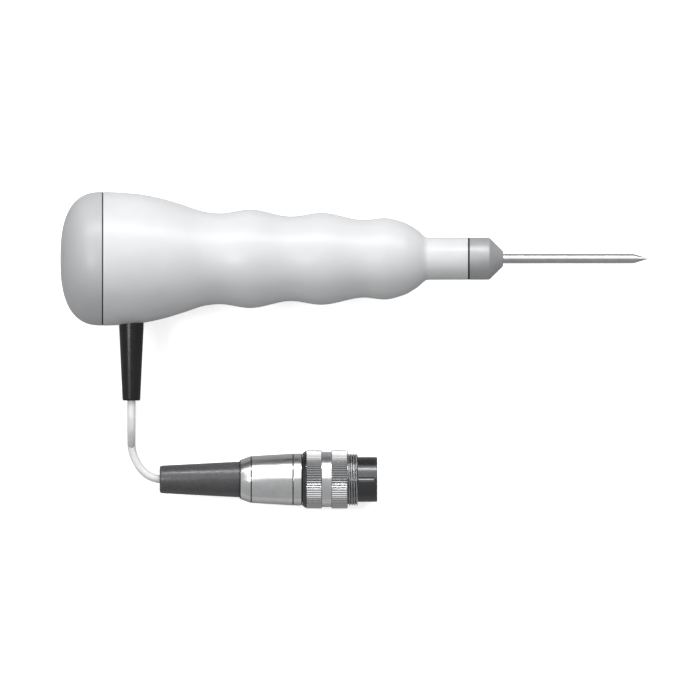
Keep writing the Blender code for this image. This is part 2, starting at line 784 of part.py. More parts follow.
def build():
    clear_scene()
    grip_grey = make_material("grip_plastic", (0.62, 0.63, 0.65), 0.35)
    cap_grey = make_material("cap_plastic", (0.47, 0.48, 0.49), 0.35)
    black_rubber = make_material("black_rubber", (0.015, 0.015, 0.016), 0.5)
    boot_rubber = make_material("boot_rubber", (0.07, 0.07, 0.075), 0.45)
    ferrule_metal = make_material("ferrule_metal", (0.4, 0.4, 0.42), 0.35, 1.0)
    shaft_steel = make_material("shaft_steel", (0.7, 0.7, 0.72), 0.22, 1.0)
    satin_nickel = make_material("satin_nickel", (0.66, 0.66, 0.68), 0.25, 1.0)
    shell_metal = make_material("shell_metal", (0.1, 0.1, 0.11), 0.35, 0.6)
    gold = make_material("pin_gold", (0.8, 0.6, 0.25), 0.3, 1.0)
    brass = make_material("brass", (0.72, 0.55, 0.28), 0.35, 1.0)
    cord_grey = make_material("cord_pvc", (0.72, 0.72, 0.73), 0.45)
    board_green = make_material("board_green", (0.03, 0.2, 0.09), 0.4)
    nylon = make_material("nylon", (0.75, 0.75, 0.72), 0.5)
    black_plastic = make_material("black_plastic", (0.02, 0.02, 0.022), 0.45)
    copper = make_material("copper", (0.72, 0.38, 0.22), 0.35, 1.0)

    handle_grip(grip_grey)
    end_cap(cap_grey)
    cap_o_ring(black_rubber)
    neck_seal(black_rubber)
    ferrule(ferrule_metal)
    ferrule_nut(brass)
    probe_shaft(shaft_steel)
    shaft_tip(shaft_steel)
    shaft_bush(nylon)
    sensor_bead(black_plastic)
    sensor_leads(copper)
    board_carrier(nylon)
    signal_board(board_green)
    board_parts(black_plastic, nylon)
    carrier_screws(shaft_steel)
    inner_cable(cord_grey)
    inner_cores(copper)
    cable_tie(nylon)
    strain_relief(black_rubber)

    plug_boot(boot_rubber)
    clamp_collar(satin_nickel)
    plug_backshell(satin_nickel)
    lock_ring(satin_nickel)
    coupling_ring(satin_nickel)
    retaining_clip(shaft_steel)
    plug_shell(shell_metal)
    pin_insert(black_plastic)
    contact_pins(gold)
    cable_clamp(brass)
    plug_cable_tail(cord_grey)
    plug_cores(copper)

    lead(cord_grey)
    hank_tie(black_plastic)


build()
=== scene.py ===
"""Looks of the plug-in hand probe: the camera, the lead, and the finished pieces and materials.

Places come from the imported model.  Shapes are written in millimetres from the back of the
end cap along the handle, and from the handle's or the plug's own axis.
"""
import math

import bmesh
import bpy
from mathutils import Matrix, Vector


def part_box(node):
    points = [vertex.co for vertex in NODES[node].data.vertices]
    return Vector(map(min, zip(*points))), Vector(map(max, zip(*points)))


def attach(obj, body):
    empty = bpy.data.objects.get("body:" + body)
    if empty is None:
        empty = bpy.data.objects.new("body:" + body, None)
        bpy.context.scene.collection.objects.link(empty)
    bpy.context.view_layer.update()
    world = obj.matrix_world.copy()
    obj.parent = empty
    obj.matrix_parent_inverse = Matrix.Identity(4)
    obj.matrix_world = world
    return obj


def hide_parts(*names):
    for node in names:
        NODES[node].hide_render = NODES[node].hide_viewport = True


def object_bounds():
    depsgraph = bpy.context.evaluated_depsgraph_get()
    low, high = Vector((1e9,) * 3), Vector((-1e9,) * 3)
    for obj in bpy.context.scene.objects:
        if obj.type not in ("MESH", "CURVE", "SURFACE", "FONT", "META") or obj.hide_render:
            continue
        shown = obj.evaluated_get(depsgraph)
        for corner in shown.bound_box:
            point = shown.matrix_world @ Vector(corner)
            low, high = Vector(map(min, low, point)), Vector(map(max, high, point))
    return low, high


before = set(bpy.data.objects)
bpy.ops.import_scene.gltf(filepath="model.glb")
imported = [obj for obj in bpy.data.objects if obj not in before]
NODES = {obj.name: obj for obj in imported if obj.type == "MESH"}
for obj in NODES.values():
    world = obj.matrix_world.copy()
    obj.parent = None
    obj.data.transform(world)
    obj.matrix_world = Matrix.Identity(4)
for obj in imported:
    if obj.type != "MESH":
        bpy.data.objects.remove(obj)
CAD_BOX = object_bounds()
MM = 0.001

# ---- Places read from the frame -----------------------------------------------------------

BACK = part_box("end_cap")[0].x
FLOOR = CAD_BOX[0].z


def middle(node):
    low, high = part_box(node)
    return (low + high) / 2


def span(node):
    """Where a turned node starts and ends along the handle, and its radius, in millimetres."""
    low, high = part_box(node)
    return (low.x - BACK) / MM, (high.x - BACK) / MM, (high.y - low.y) / 2 / MM


HANDLE_AXIS = Vector((BACK, 0.0, middle("handle_grip").z))
PLUG_AXIS = Vector((BACK, middle("coupling_ring").y, middle("coupling_ring").z))
RELIEF_X = middle("strain_relief").x
RELIEF_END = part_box("strain_relief")[0].y
RELIEF_AXIS = Vector((RELIEF_X, 0.0, HANDLE_AXIS.z))
SIDEWAYS = (0, -1, 0)               # the way that the strain relief points
CORD_DIAMETER = 2.5 * MM
CORD_RADIUS = CORD_DIAMETER / 2
JOINT_GAP = 0.3                     # millimetres between two shells that meet

FINE = 160                          # points round the handle
ROUND = 96                          # points round a plug piece
SLEEVE = 64                         # points round a rubber sleeve
SMALL = 32                          # points round a pin or the shaft
CREASE = 38                         # degrees beyond which an edge stays crisp
CUT_CREASE = 30                     # the same, on a knurled, threaded or slotted piece


# ---- Shape tools --------------------------------------------------------------------------

def mesh_object(name, vertices, faces, material, sharp=CREASE):
    """A smooth-shaded mesh object whose edges stay crisp beyond an angle in degrees."""
    mesh = bpy.data.meshes.new(name)
    mesh.from_pydata([tuple(v) for v in vertices], [], faces)
    mesh.update()
    builder = bmesh.new()
    builder.from_mesh(mesh)
    bmesh.ops.recalc_face_normals(builder, faces=builder.faces)
    builder.to_mesh(mesh)
    builder.free()
    mesh.shade_smooth()
    mesh.set_sharp_from_angle(angle=math.radians(sharp))
    obj = bpy.data.objects.new(name, mesh)
    obj.data.materials.append(material)
    bpy.context.scene.collection.objects.link(obj)
    return obj


def rounded(corners, closed=True, steps=4):
    """An outline with its corners rounded.

    Each corner is (along, radius, rounding) in millimetres; the result is in metres.
    An open outline keeps its first and last corner as they are.
    """
    points = [Vector((along, radius)) * MM for along, radius, _ in corners]
    outline = []
    for index, (_, _, rounding) in enumerate(corners):
        here = points[index]
        at_end = not closed and index in (0, len(corners) - 1)
        if rounding == 0.0 or at_end:
            outline.append(tuple(here))
            continue
        to_before = points[index - 1] - here
        to_after = points[(index + 1) % len(points)] - here
        start = here + to_before.normalized() * min(rounding * MM, to_before.length * 0.48)
        end = here + to_after.normalized() * min(rounding * MM, to_after.length * 0.48)
        for step in range(steps + 1):
            t = step / steps
            place = start * (1 - t) ** 2 + here * 2 * t * (1 - t) + end * t ** 2
            outline.append(tuple(place))
    return outline


def revolve(name, outline, material, axis, segments=ROUND, closed=True, shaped=None,
            direction=(1, 0, 0), sharp=CREASE):
    """A turned piece: the outline of (along, radius) pairs taken round an axis.

    shaped(along, radius, angle) may give another radius at each place.  An outline that
    isn't closed starts and ends on the axis.
    """
    forward = Vector(direction)
    side = Vector((0, 1, 0)) if abs(forward.x) > 0.5 else Vector((1, 0, 0))
    up = forward.cross(side)
    vertices = []
    rings = []
    for along, radius in outline:
        count = 1 if radius == 0.0 else segments
        rings.append(range(len(vertices), len(vertices) + count))
        for step in range(count):
            angle = 2 * math.pi * step / segments
            here = shaped(along, radius, angle) if shaped and radius > 0.0 else radius
            outward = side * math.cos(angle) + up * math.sin(angle)
            vertices.append(axis + forward * along + outward * here)
    pairs = list(zip(rings, rings[1:]))
    if closed:
        pairs.append((rings[-1], rings[0]))
    faces = []
    for first, second in pairs:
        for step in range(segments):
            after = (step + 1) % segments
            corners = (first[step % len(first)], first[after % len(first)],
                       second[after % len(second)], second[step % len(second)])
            faces.append(tuple(dict.fromkeys(corners)))
    return mesh_object(name, vertices, faces, material, sharp)


def turned_ring(name, low, high, inner, outer, material, axis):
    """A plain ring with square corners, in millimetres."""
    outline = [(low, inner, 0.0), (low, outer, 0.0), (high, outer, 0.0), (high, inner, 0.0)]
    return revolve(name, rounded(outline), material, axis)


def joined(name, pieces):
    """Several pieces of one material made into one."""
    vertices = []
    faces = []
    for piece in pieces:
        first = len(vertices)
        vertices += [vertex.co.copy() for vertex in piece.data.vertices]
        faces += [[first + index for index in face.vertices] for face in piece.data.polygons]
    material = pieces[0].data.materials[0]
    for piece in pieces:
        bpy.data.objects.remove(piece, do_unlink=True)
    return mesh_object(name, vertices, faces, material)


def carve(obj, cutter):
    """Takes the cutter out of the object for good, and removes the cutter."""
    modifier = obj.modifiers.new("carve", "BOOLEAN")
    modifier.operation = "DIFFERENCE"
    modifier.solver = "EXACT"
    modifier.object = cutter
    graph = bpy.context.evaluated_depsgraph_get()
    carved = bpy.data.meshes.new_from_object(obj.evaluated_get(graph))
    obj.modifiers.clear()
    obj.data = carved
    bpy.data.objects.remove(cutter, do_unlink=True)


# ---- Materials ----------------------------------------------------------------------------

class Surface:
    """A Principled material with helpers that add procedural colour, roughness and bump."""

    def __init__(self, name, colour, roughness, metallic=0.0):
        self.material = bpy.data.materials.new(name)
        self.material.use_nodes = True
        self.nodes = self.material.node_tree.nodes
        self.links = self.material.node_tree.links
        self.shader = self.nodes["Principled BSDF"]
        self.colour = colour
        self.shader.inputs["Base Color"].default_value = (*colour, 1.0)
        self.shader.inputs["Roughness"].default_value = roughness
        self.shader.inputs["Metallic"].default_value = metallic
        self.coordinates = self.nodes.new("ShaderNodeTexCoord")
        self.bump_output = None

    def noise(self, scale, detail=4.0, stretch=(1.0, 1.0, 1.0)):
        """Noise in the piece's own coordinates; stretch is its scale along X, Y and Z."""
        mapping = self.nodes.new("ShaderNodeMapping")
        mapping.inputs["Scale"].default_value = stretch
        texture = self.nodes.new("ShaderNodeTexNoise")
        texture.inputs["Scale"].default_value = scale
        texture.inputs["Detail"].default_value = detail
        self.links.new(self.coordinates.outputs["Object"], mapping.inputs["Vector"])
        self.links.new(mapping.outputs["Vector"], texture.inputs["Vector"])
        return texture.outputs["Fac"]

    def spread(self, factor, low, high):
        """The factor's middle range drawn out between two values."""
        ramp = self.nodes.new("ShaderNodeMapRange")
        ramp.inputs["From Min"].default_value = 0.3
        ramp.inputs["From Max"].default_value = 0.7
        ramp.inputs["To Min"].default_value = low
        ramp.inputs["To Max"].default_value = high
        self.links.new(factor, ramp.inputs["Value"])
        return ramp.outputs["Result"]

    def vary_colour(self, factor, amount):
        """Lightens and darkens the base colour by up to the amount, as a fraction."""
        mix = self.nodes.new("ShaderNodeMix")
        mix.data_type = "RGBA"
        darker = [channel * (1 - amount) for channel in self.colour]
        lighter = [min(1.0, channel * (1 + amount)) for channel in self.colour]
        mix.inputs["A"].default_value = (*darker, 1.0)
        mix.inputs["B"].default_value = (*lighter, 1.0)
        self.links.new(self.spread(factor, 0.0, 1.0), mix.inputs["Factor"])
        self.links.new(mix.outputs["Result"], self.shader.inputs["Base Color"])
        return self

    def vary_roughness(self, factor, low, high):
        self.links.new(self.spread(factor, low, high), self.shader.inputs["Roughness"])
        return self

    def bump(self, factor, height, strength=1.0):
        """Adds relief of a height in metres on top of what is there already."""
        node = self.nodes.new("ShaderNodeBump")
        node.inputs["Distance"].default_value = height
        node.inputs["Strength"].default_value = strength
        self.links.new(factor, node.inputs["Height"])
        if self.bump_output:
            self.links.new(self.bump_output, node.inputs["Normal"])
        self.bump_output = node.outputs["Normal"]
        self.links.new(self.bump_output, self.shader.inputs["Normal"])
        return self


def moulded_plastic(name, colour, roughness, grain=0.000012):
    """Satin moulded plastic: a fine even grain, faint clouding and handling marks."""
    surface = Surface(name, colour, roughness)
    surface.vary_colour(surface.noise(90.0, 3.0), 0.025)
    surface.vary_roughness(surface.noise(260.0, 5.0), roughness - 0.05, roughness + 0.06)
    surface.bump(surface.noise(5200.0, 2.0), grain)
    surface.bump(surface.noise(420.0, 2.0), grain * 0.6)
    return surface.material


def moulded_rubber(name, colour, roughness, shine=0.6):
    """Soft rubber: fine pitting, a slight bloom and a low shine."""
    surface = Surface(name, colour, roughness)
    surface.shader.inputs["Specular IOR Level"].default_value = shine
    surface.vary_colour(surface.noise(700.0, 4.0), 0.12)
    surface.vary_roughness(surface.noise(500.0, 4.0), roughness - 0.06, roughness + 0.08)
    surface.bump(surface.noise(6500.0, 3.0), 0.000008)
    return surface.material


def turned_metal(name, colour, roughness, lines=1.0, metallic=1.0):
    """Lathe-turned metal: fine rings round the piece, with slight cloudy wear."""
    surface = Surface(name, colour, roughness, metallic)
    rings = surface.noise(1.0, 2.0, stretch=(9000.0, 60.0, 60.0))
    surface.vary_colour(surface.noise(350.0, 4.0), 0.05)
    surface.vary_roughness(rings, roughness - 0.05, roughness + 0.07)
    surface.bump(rings, 0.000004 * lines)
    return surface.material


# Painted shade: the bottoms of cut grooves are darkened in colour.
GROOVE_SHADE = 0.4                        # how much of its colour a groove's bottom keeps


def grooved_metal(name, colour, roughness, valley, crest):
    """Cut metal that darkens towards the bottom of its grooves: painted shade.

    valley and crest are the radii, from the plug's axis, of the grooves' bottoms and tops.
    """
    surface = Surface(name, colour, roughness, 1.0)
    nodes = surface.nodes
    across = nodes.new("ShaderNodeMapping")
    across.inputs["Scale"].default_value = (0.0, 1.0, 1.0)
    across.inputs["Location"].default_value = (0.0, -PLUG_AXIS.y, -PLUG_AXIS.z)
    radius = nodes.new("ShaderNodeVectorMath")
    radius.operation = "LENGTH"
    ramp = nodes.new("ShaderNodeMapRange")
    ramp.inputs["From Min"].default_value = valley
    ramp.inputs["From Max"].default_value = crest
    mix = nodes.new("ShaderNodeMix")
    mix.data_type = "RGBA"
    mix.inputs["A"].default_value = (*[channel * GROOVE_SHADE for channel in colour], 1.0)
    mix.inputs["B"].default_value = (*colour, 1.0)
    links = surface.links
    links.new(surface.coordinates.outputs["Object"], across.inputs["Vector"])
    links.new(across.outputs["Vector"], radius.inputs[0])
    links.new(radius.outputs["Value"], ramp.inputs["Value"])
    links.new(ramp.outputs["Result"], mix.inputs["Factor"])
    links.new(mix.outputs["Result"], surface.shader.inputs["Base Color"])
    surface.vary_roughness(surface.noise(900.0, 3.0), roughness - 0.04, roughness + 0.08)
    return surface.material


def cast_metal(name, colour, roughness):
    """Plain plated metal with faint scuffs."""
    surface = Surface(name, colour, roughness, 1.0)
    surface.vary_colour(surface.noise(900.0, 4.0), 0.06)
    surface.vary_roughness(surface.noise(1400.0, 4.0), roughness - 0.06, roughness + 0.08)
    return surface.material


def lead_jacket(name, colour):
    """Smooth soft PVC with a faint extrusion ripple."""
    surface = Surface(name, colour, 0.36)
    surface.shader.inputs["Subsurface Weight"].default_value = 0.06
    surface.shader.inputs["Subsurface Radius"].default_value = (0.0006, 0.0006, 0.0006)
    surface.vary_colour(surface.noise(240.0, 3.0), 0.03)
    surface.vary_roughness(surface.noise(700.0, 3.0), 0.30, 0.42)
    surface.bump(surface.noise(1500.0, 2.0), 0.000015)
    return surface.material


def woven_tie(name, colour):
    """Hook-and-loop tape: short fibres on a dark weave."""
    surface = Surface(name, colour, 0.85)
    surface.shader.inputs["Sheen Weight"].default_value = 0.4
    surface.vary_colour(surface.noise(5000.0, 4.0), 0.5)
    surface.bump(surface.noise(4200.0, 4.0), 0.00012)
    return surface.material


def board_laminate(name, colour):
    """Solder-masked board: glossy green with the weave just showing."""
    surface = Surface(name, colour, 0.3)
    surface.shader.inputs["Coat Weight"].default_value = 0.3
    surface.vary_colour(surface.noise(1.0, 2.0, stretch=(2200.0, 500.0, 500.0)), 0.18)
    surface.bump(surface.noise(2600.0, 2.0), 0.000008)
    return surface.material


GRIP_GREY = moulded_plastic("grip_plastic", (0.565, 0.572, 0.582), 0.34)
CAP_GREY = moulded_plastic("cap_plastic", (0.415, 0.42, 0.43), 0.34)
BLACK_RUBBER = moulded_rubber("black_rubber", (0.004, 0.004, 0.005), 0.3, 0.45)
# Matte black for the real neck seal, and for the dark rings that stand for the shade in the
# hairline joints: painted shade.
SEAL_AND_JOINT_SHADE = moulded_rubber("seal_and_joint_shade", (0.003, 0.003, 0.003), 0.9, 0.2)
BOOT_RUBBER = moulded_rubber("boot_rubber", (0.062, 0.062, 0.065), 0.24)
FERRULE_METAL = turned_metal("ferrule_metal", (0.36, 0.365, 0.375), 0.42, metallic=0.4)
SHAFT_STEEL = turned_metal("shaft_steel", (0.58, 0.58, 0.60), 0.2, 0.6)
SATIN_NICKEL = turned_metal("satin_nickel", (0.84, 0.845, 0.855), 0.17, 0.3)
# Knurl and thread nickel, darker towards their groove bottoms as painted shade.
KNURL_NICKEL = grooved_metal("knurl_nickel", (0.66, 0.665, 0.675), 0.24,
                             8.62 * MM, 8.86 * MM)
THREAD_NICKEL = grooved_metal("thread_nickel", (0.74, 0.745, 0.755), 0.24,
                              7.55 * MM, 7.95 * MM)
SHELL_METAL = turned_metal("shell_metal", (0.10, 0.102, 0.105), 0.22, 0.6)
PIN_GOLD = cast_metal("pin_gold", (0.78, 0.57, 0.24), 0.24)
BRASS = cast_metal("brass", (0.70, 0.53, 0.26), 0.32)
CORD_PVC = lead_jacket("cord_pvc", (0.70, 0.705, 0.71))
BOARD_GREEN = board_laminate("board_green", (0.02, 0.17, 0.07))
NYLON = moulded_plastic("nylon", (0.72, 0.71, 0.66), 0.45)
BLACK_PLASTIC = moulded_plastic("black_plastic", (0.014, 0.014, 0.016), 0.4)
COPPER = cast_metal("copper", (0.70, 0.36, 0.21), 0.3)
TIE_TAPE = woven_tie("tie_tape", (0.02, 0.02, 0.022))

CAD_MATERIALS = {
    BLACK_RUBBER: ["cap_o_ring"],
    BRASS: ["ferrule_nut", "cable_clamp"],
    NYLON: ["shaft_bush", "board_carrier", "rear_terminal", "front_terminal", "cable_tie"],
    BLACK_PLASTIC: ["sensor_bead", "board_chip", "pin_insert"],
    BOARD_GREEN: ["signal_board"],
    SHAFT_STEEL: ["carrier_screw_1", "carrier_screw_2", "retaining_clip"],
    CORD_PVC: ["inner_cable"],
    COPPER: ["sensor_lead_1", "sensor_lead_2"]
            + ["inner_core_" + str(number) for number in range(1, 5)]
            + ["plug_core_" + str(number) for number in range(1, 6)],
}


def dress_cad_nodes():
    """The pieces kept as the CAD made them, nearly all of them inside, get their materials."""
    for material, names in CAD_MATERIALS.items():
        for name in names:
            NODES[name].data.materials.clear()
            NODES[name].data.materials.append(material)


def finished(piece, slot, *nodes, body="probe"):
    """The piece stands for the nodes and rides on the body; slot is not used."""
    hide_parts(*nodes)
    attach(piece, body)
    return piece


def joint(name, low, high, radius, axis):
    """A dark ring in the hairline joint between two pieces, just under their skins: painted
    shade standing for the shadow in the gap.
    """
    skin = 0.1
    depth = 0.9
    return turned_ring(name, low, high, radius - depth, radius - skin, SEAL_AND_JOINT_SHADE, axis)


# ---- Camera, floor and light --------------------------------------------------------------

VIEW_WIDTH = 214.07                 # millimetres across the picture
VIEW_CENTRE = (88.56, -27.92)       # from the back of the cap, and from the handle's axis
CAMERA_HEIGHT = 0.4                 # metres
FLOOR_HALF = 1.6                    # metres from its middle to each side
FLOOR_GLOW = 0.62                   # what brings the sheet up to white for the camera
FLOOR_BOUNCE = 0.38                 # how much light the sheet throws back onto the probe
ROOM_NEAR = 0.36
ROOM_FAR = 0.47
KEY_BRIGHTNESS = 1.0
STRIP_BRIGHTNESS = 11.0
SIDE_BRIGHTNESS = 19.0


def make_camera():
    """Straight down on the probe as it lies, with no perspective, +Y up in the picture."""
    data = bpy.data.cameras.new("camera")
    data.type = "ORTHO"
    data.ortho_scale = VIEW_WIDTH * MM
    camera = bpy.data.objects.new("camera", data)
    camera.location = (BACK + VIEW_CENTRE[0] * MM, VIEW_CENTRE[1] * MM, CAMERA_HEIGHT)
    bpy.context.scene.collection.objects.link(camera)
    bpy.context.scene.camera = camera


def make_floor():
    """A sheet that is white to the camera, and throws back less light than a white one."""
    surface = Surface("floor", (0.90, 0.90, 0.90), 0.9)
    surface.vary_colour(surface.noise(3.0), 0.004)
    nodes = surface.nodes
    surface.shader.inputs["Emission Color"].default_value = (1.0, 1.0, 1.0, 1.0)
    surface.shader.inputs["Emission Strength"].default_value = FLOOR_GLOW
    held_down = nodes.new("ShaderNodeBsdfDiffuse")
    held_down.inputs["Color"].default_value = (*[FLOOR_BOUNCE] * 3, 1.0)
    path = nodes.new("ShaderNodeLightPath")
    mix = nodes.new("ShaderNodeMixShader")
    surface.links.new(path.outputs["Is Camera Ray"], mix.inputs["Fac"])
    surface.links.new(held_down.outputs["BSDF"], mix.inputs[1])
    surface.links.new(surface.shader.outputs["BSDF"], mix.inputs[2])
    surface.links.new(mix.outputs["Shader"], nodes["Material Output"].inputs["Surface"])
    corners = [(-FLOOR_HALF, -FLOOR_HALF, FLOOR), (FLOOR_HALF, -FLOOR_HALF, FLOOR),
               (FLOOR_HALF, FLOOR_HALF, FLOOR), (-FLOOR_HALF, FLOOR_HALF, FLOOR)]
    floor = mesh_object("floor", corners, [(0, 1, 2, 3)], surface.material)


def soft_box(name, across, along, width, height, brightness):
    """A rectangular light, a metre from the middle of the probe, that faces it.

    across and along are its angles from straight overhead, in degrees, towards +X and +Y;
    brightness is its radiance.
    """
    lit_place = Vector((0.0, -0.03, 0.0))
    direction = Vector((math.tan(math.radians(across)), math.tan(math.radians(along)), 1.0))
    data = bpy.data.lights.new(name, "AREA")
    data.shape = "RECTANGLE"
    data.size = width
    data.size_y = height
    data.energy = brightness * math.pi * width * height
    light = bpy.data.objects.new(name, data)
    light.location = lit_place + direction.normalized()
    light.rotation_euler = direction.to_track_quat("Z", "Y").to_euler()
    bpy.context.scene.collection.objects.link(light)


def make_world():
    """A pale room that dims towards the near side's horizon."""
    world = bpy.data.worlds.new("world")
    world.use_nodes = True
    bpy.context.scene.world = world
    nodes = world.node_tree.nodes
    links = world.node_tree.links
    coordinates = nodes.new("ShaderNodeTexCoord")
    separate = nodes.new("ShaderNodeSeparateXYZ")
    ramp = nodes.new("ShaderNodeMapRange")
    ramp.inputs["From Min"].default_value = -1.0
    ramp.inputs["From Max"].default_value = 0.05
    ramp.inputs["To Min"].default_value = ROOM_NEAR
    ramp.inputs["To Max"].default_value = ROOM_FAR
    links.new(coordinates.outputs["Generated"], separate.inputs["Vector"])
    links.new(separate.outputs["Y"], ramp.inputs["Value"])
    links.new(ramp.outputs["Result"], nodes["Background"].inputs["Strength"])
    nodes["Background"].inputs["Color"].default_value = (1.0, 1.0, 1.0, 1.0)


def make_lights():
    soft_box("key_box", across=0.0, along=39.0, width=1.7, height=1.4,
             brightness=KEY_BRIGHTNESS)
    soft_box("strip_box", across=0.0, along=54.0, width=1.7, height=0.12,
             brightness=STRIP_BRIGHTNESS)
    soft_box("side_box", across=-28.0, along=0.0, width=0.18, height=0.2,
             brightness=SIDE_BRIGHTNESS)


# ---- Lead ---------------------------------------------------------------------------------

# The hank, as it lies under the grip: two round ends and two sides drawn in by its tie.
# Each pair is half the hank's width and the layer where a turn begins, and the last pair is
# where the last turn ends.
HANK_LEFT = 58.15
HANK_RIGHT = 80.85
HANK_TURNS = [(12.5, 0), (10.0, 0), (7.5, 0), (7.5, 1), (10.0, 1), (12.5, 1)]
HANK_CLIMB = 0.95                   # how far in the lead swings where it climbs a layer
TIE_AT = (middle("hank_tie").x - BACK) / MM
TIE_PINCH = 1.75
TIE_REACH = 8.0
TIE_LIFT = 0.6
TIE_STRAP = 0.28 * MM
TIE_CORNER = 0.6 * MM


def at(along, across, height):
    """A place in millimetres from the back of the cap, the handle's axis and the floor."""
    return Vector((BACK + along * MM, across * MM, FLOOR + height * MM))


# From the strain relief the lead bends over and back under it, then runs beneath the grip.
RELIEF_RUN = [
    at(21.7, -43.2, 20.45),
    at(21.7, -46.6, 20.45),
    at(21.7, -49.6, 20.2),
    at(21.7, -54.0, 18.0),
    at(21.7, -56.6, 12.8),
    at(21.7, -54.4, 7.2),
    at(21.7, -49.6, 4.5),
    at(21.7, -44.0, 3.95),
    at(21.7, -36.0, 3.9),
    at(21.7, -28.0, 3.9),
    at(22.2, -21.5, 3.85),
    at(23.6, -17.4, 3.7),
    at(25.9, -14.6, 3.25),
    at(29.0, -11.5, 2.1),
    at(33.0, -7.5, 1.35),
    at(37.0, -3.5, 1.4),
    at(40.0, -0.5, 2.25),
    at(42.7, 2.2, 3.45),
    at(46.0, 5.55, 3.8),
]

# From the hank the lead runs along the surface under the strain relief, round to the plug,
# and through its boot to the clamp.
PLUG_RUN = [
    at(53.5, -12.5, 1.25),
    at(49.2, -12.5, 1.25),
    at(44.0, -12.75, 1.25),
    at(38.0, -13.6, 1.25),
    at(32.0, -14.6, 1.25),
    at(27.6, -15.9, 1.25),
    at(24.4, -18.4, 1.25),
    at(22.3, -22.4, 1.25),
    at(21.7, -28.0, 1.25),
    at(21.7, -36.0, 1.25),
    at(21.7, -44.0, 1.25),
    at(21.7, -50.0, 1.35),
    at(21.7, -54.6, 2.5),
    at(21.9, -58.4, 4.5),
    at(23.2, -62.0, 6.4),
    at(25.5, -65.2, 8.0),
    at(28.2, -66.9, 8.8),
    at(31.5, -67.5, 8.9),
    at(40.0, -67.5, 8.9),
    at(52.0, -67.5, 8.9),
    at(64.6, -67.5, 8.9),
]


def eased(t):
    """Goes from 0 to 1 as t does, level at both ends."""
    return t * t * (3 - 2 * t)


def pinch(along):
    """How strongly the tie is felt at a distance along the hank, from 0 to 1."""
    away = min(1.0, abs(along - TIE_AT) / TIE_REACH)
    return math.cos(math.pi / 2 * away) ** 2


def hank_place(along, across, height):
    """A place in the hank, drawn in and lifted where the tie goes round it."""
    pull = pinch(along)
    drawn = across - math.copysign(TIE_PINCH * pull, across)
    return at(along, drawn, height + TIE_LIFT * pull)


def hank_end(centre, width, height, first, turned, steps):
    """Places round one end of the hank, from the first angle on, without the last one."""
    places = []
    for step in range(steps):
        angle = first + turned * step / steps
        places.append(hank_place(centre + width * math.cos(angle),
                                 width * math.sin(angle), height))
    return places


def hank_route():
    """The lead's way through the hank, from the plug's side on the floor to the relief's on top.

    Each turn goes along the near side, round the far end, back along the other side, where
    it shifts to the next column or up to the upper layer, and round the end by the cap.
    The last one stops an eighth of a turn past that side.
    """
    side_steps = 6
    straight = HANK_RIGHT - HANK_LEFT
    places = []
    for (width, layer), (next_width, next_layer) in zip(HANK_TURNS, HANK_TURNS[1:]):
        height = CORD_RADIUS / MM * (1 + 2 * layer)
        next_height = CORD_RADIUS / MM * (1 + 2 * next_layer)
        climb = HANK_CLIMB if next_layer != layer else 0.0
        for step in range(side_steps):
            places.append(hank_place(HANK_LEFT + straight * step / side_steps, -width, height))
        places += hank_end(HANK_RIGHT, width, height, -math.pi / 2, math.pi, 10)
        for step in range(side_steps):
            t = step / side_steps
            across = width + (next_width - width) * eased(t) - climb * math.sin(math.pi * t)
            places.append(hank_place(HANK_RIGHT - straight * t, across,
                                     height + (next_height - height) * eased(t)))
        is_last = (next_width, next_layer) == HANK_TURNS[-1]
        turned, steps = (math.pi / 4, 4) if is_last else (math.pi, 10)
        places += hank_end(HANK_LEFT, next_width, next_height, math.pi / 2, turned, steps)
    last_angle = math.pi / 2 + turned
    places.append(hank_place(HANK_LEFT + next_width * math.cos(last_angle),
                             next_width * math.sin(last_angle), next_height))
    return places


def make_lead():
    """One open curve from the strain relief, through the hank, to the plug."""
    points = RELIEF_RUN + hank_route()[::-1] + PLUG_RUN
    curve = bpy.data.curves.new("lead", "CURVE")
    curve.dimensions = "3D"
    curve.bevel_depth = CORD_RADIUS
    curve.bevel_resolution = 5
    curve.use_fill_caps = True
    curve.resolution_u = 5
    spline = curve.splines.new("BEZIER")
    spline.bezier_points.add(len(points) - 1)
    for bezier_point, place in zip(spline.bezier_points, points):
        bezier_point.co = place
        bezier_point.handle_left_type = "AUTO"
        bezier_point.handle_right_type = "AUTO"
    lead = bpy.data.objects.new("lead", curve)
    curve.materials.append(CORD_PVC)
    bpy.context.scene.collection.objects.link(lead)
    finished(lead, "cord_pvc", "cord_relief_run", "cord_hank", "cord_plug_run",
             "plug_cable_tail")


def tie_outline(inset):
    """(y, z) pairs round the tie, at a depth under its outer face."""
    low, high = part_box("hank_tie")
    centre = (low + high) / 2
    y = (high.y - low.y) / 2 - inset
    z = (high.z - low.z) / 2 - inset
    turn = TIE_CORNER - inset
    corner_steps = 6
    pairs = []
    for quarter in range(4):
        sign_y = 1 if quarter in (0, 3) else -1
        sign_z = 1 if quarter in (0, 1) else -1
        for step in range(corner_steps + 1):
            angle = math.pi / 2 * (quarter + step / corner_steps)
            pairs.append((centre.y + sign_y * (y - turn) + turn * math.cos(angle),
                          centre.z + sign_z * (z - turn) + turn * math.sin(angle)))
    return pairs


def make_tie():
    """Hook-and-loop strap round the hank."""
    low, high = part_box("hank_tie")
    outer = tie_outline(0.0)
    inner = tie_outline(TIE_STRAP)
    vertices = []
    for pairs, x in ((outer, low.x), (outer, high.x), (inner, high.x), (inner, low.x)):
        vertices += [(x, y, z) for y, z in pairs]
    count = len(outer)
    faces = []
    for row in range(4):
        for step in range(count):
            after = (step + 1) % count
            next_row = (row + 1) % 4
            faces.append((row * count + step, row * count + after,
                          next_row * count + after, next_row * count + step))
    tie = mesh_object("tie_strap", vertices, faces, TIE_TAPE)
    return finished(tie, "black_plastic", "hank_tie")


# ---- Handle -------------------------------------------------------------------------------

